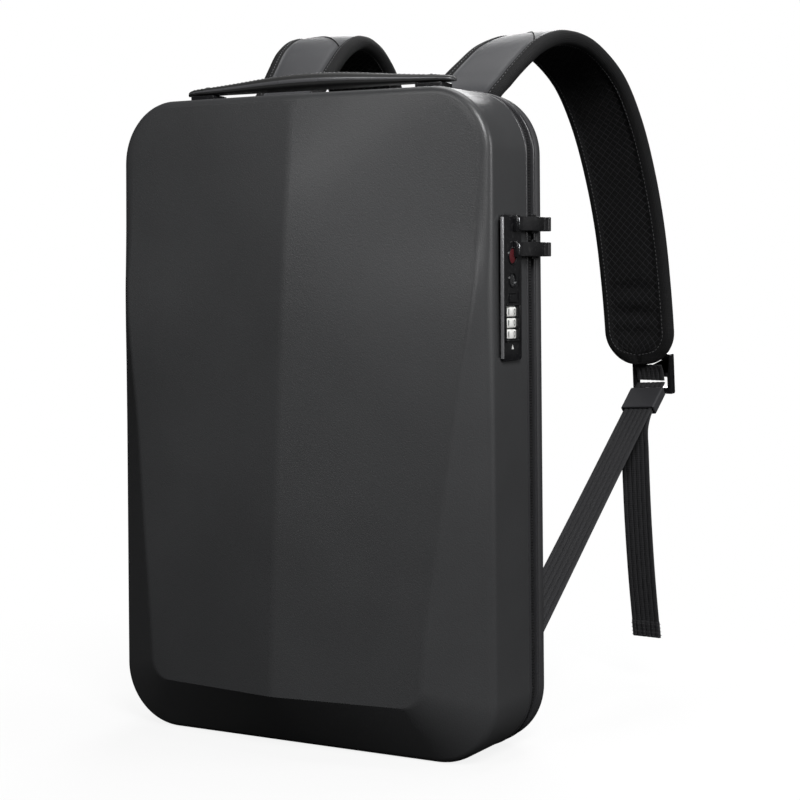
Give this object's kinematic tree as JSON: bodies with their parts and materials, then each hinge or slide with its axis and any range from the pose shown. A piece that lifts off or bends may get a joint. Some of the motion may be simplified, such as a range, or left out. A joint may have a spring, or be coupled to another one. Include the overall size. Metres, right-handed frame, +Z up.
{
  "type": "hard shell backpack",
  "caption": "Hard shell backpack with a faceted moulded front, zip round the side, combination lock, flat top handle and padded shoulder straps with buckles.",
  "frame": {"origin": "middle of the flat bottom that the case stands on", "axes": "+Z up, -Y towards the faceted front, +Y towards the shoulder straps, +X towards the lock side"},
  "size_m": [0.3093, 0.3578, 0.5097],
  "materials": {
    "shell": "matte charcoal with a very fine grain",
    "lips": "semi-gloss black bead",
    "zip": "black woven tape with moulded teeth",
    "frame": "dark textured back frame",
    "back_mesh": "black spacer mesh",
    "lock": "gloss black lock housing",
    "dials": "white number wheels with plain dark digits",
    "inlay": "plain dark red inlay",
    "key_metal": "polished metal",
    "zip_metal": "gloss black coated zip hardware",
    "handle_leather": "dark grained leather",
    "strap_fabric": "grey leather-like face over padding, black mesh underside",
    "webbing": "black ribbed webbing",
    "keeper_leather": "smooth charcoal sleeve",
    "buckle": "gloss black moulded buckle"
  },
  "bodies": {
    "case": {"front_shell": "shell", "front_lip": "lips", "zipper_strip": "zip", "back_lip": "lips", "back_frame": "frame", "back_pad_left": "back_mesh", "back_pad_right": "back_mesh", "lock_body": "lock", "lock_inlay": "inlay", "zip_slider_upper": "zip_metal", "zip_slider_lower": "zip_metal", "zip_puller_upper": "zip_metal", "zip_puller_lower": "zip_metal", "handle_grip": "handle_leather", "handle_foot_left": "lock", "handle_foot_right": "lock", "strap_left": "strap_fabric", "strap_right": "strap_fabric", "web_stub_left": "webbing", "web_stub_right": "webbing", "ladder_lock_left": "buckle", "ladder_lock_right": "buckle", "strap_keeper_left": "keeper_leather", "strap_keeper_right": "keeper_leather", "lower_web_left": "webbing", "lower_web_right": "webbing", "web_tail_left": "webbing", "web_tail_right": "webbing", "web_anchor_left": "keeper_leather", "web_anchor_right": "keeper_leather"},
    "dial_top": {"dial_1": "dials"},
    "dial_middle": {"dial_2": "dials"},
    "dial_bottom": {"dial_3": "dials"},
    "key": {"key_plug": "key_metal"},
    "button": {"release_button": "lock"}
  },
  "joints": [
    {"name": "dial_top_turn", "type": "hinge", "parent": "case", "child": "dial_top", "pos_m": [0.14401, -0.013, 0.3012], "axis": [0, 0, 1], "continuous": true},
    {"name": "dial_middle_turn", "type": "hinge", "parent": "case", "child": "dial_middle", "pos_m": [0.14401, -0.013, 0.2938], "axis": [0, 0, 1], "continuous": true},
    {"name": "dial_bottom_turn", "type": "hinge", "parent": "case", "child": "dial_bottom", "pos_m": [0.14401, -0.013, 0.2864], "axis": [0, 0, 1], "continuous": true},
    {"name": "key_turn", "type": "hinge", "parent": "case", "child": "key", "pos_m": [0.147, -0.013, 0.322], "axis": [1, 0, 0], "range_deg": [0, 90]},
    {"name": "button_press", "type": "slide", "parent": "case", "child": "button", "axis": [-1, 0, 0], "range_m": [0, 0.0012], "stiffness_N_per_m": 600}
  ]
}
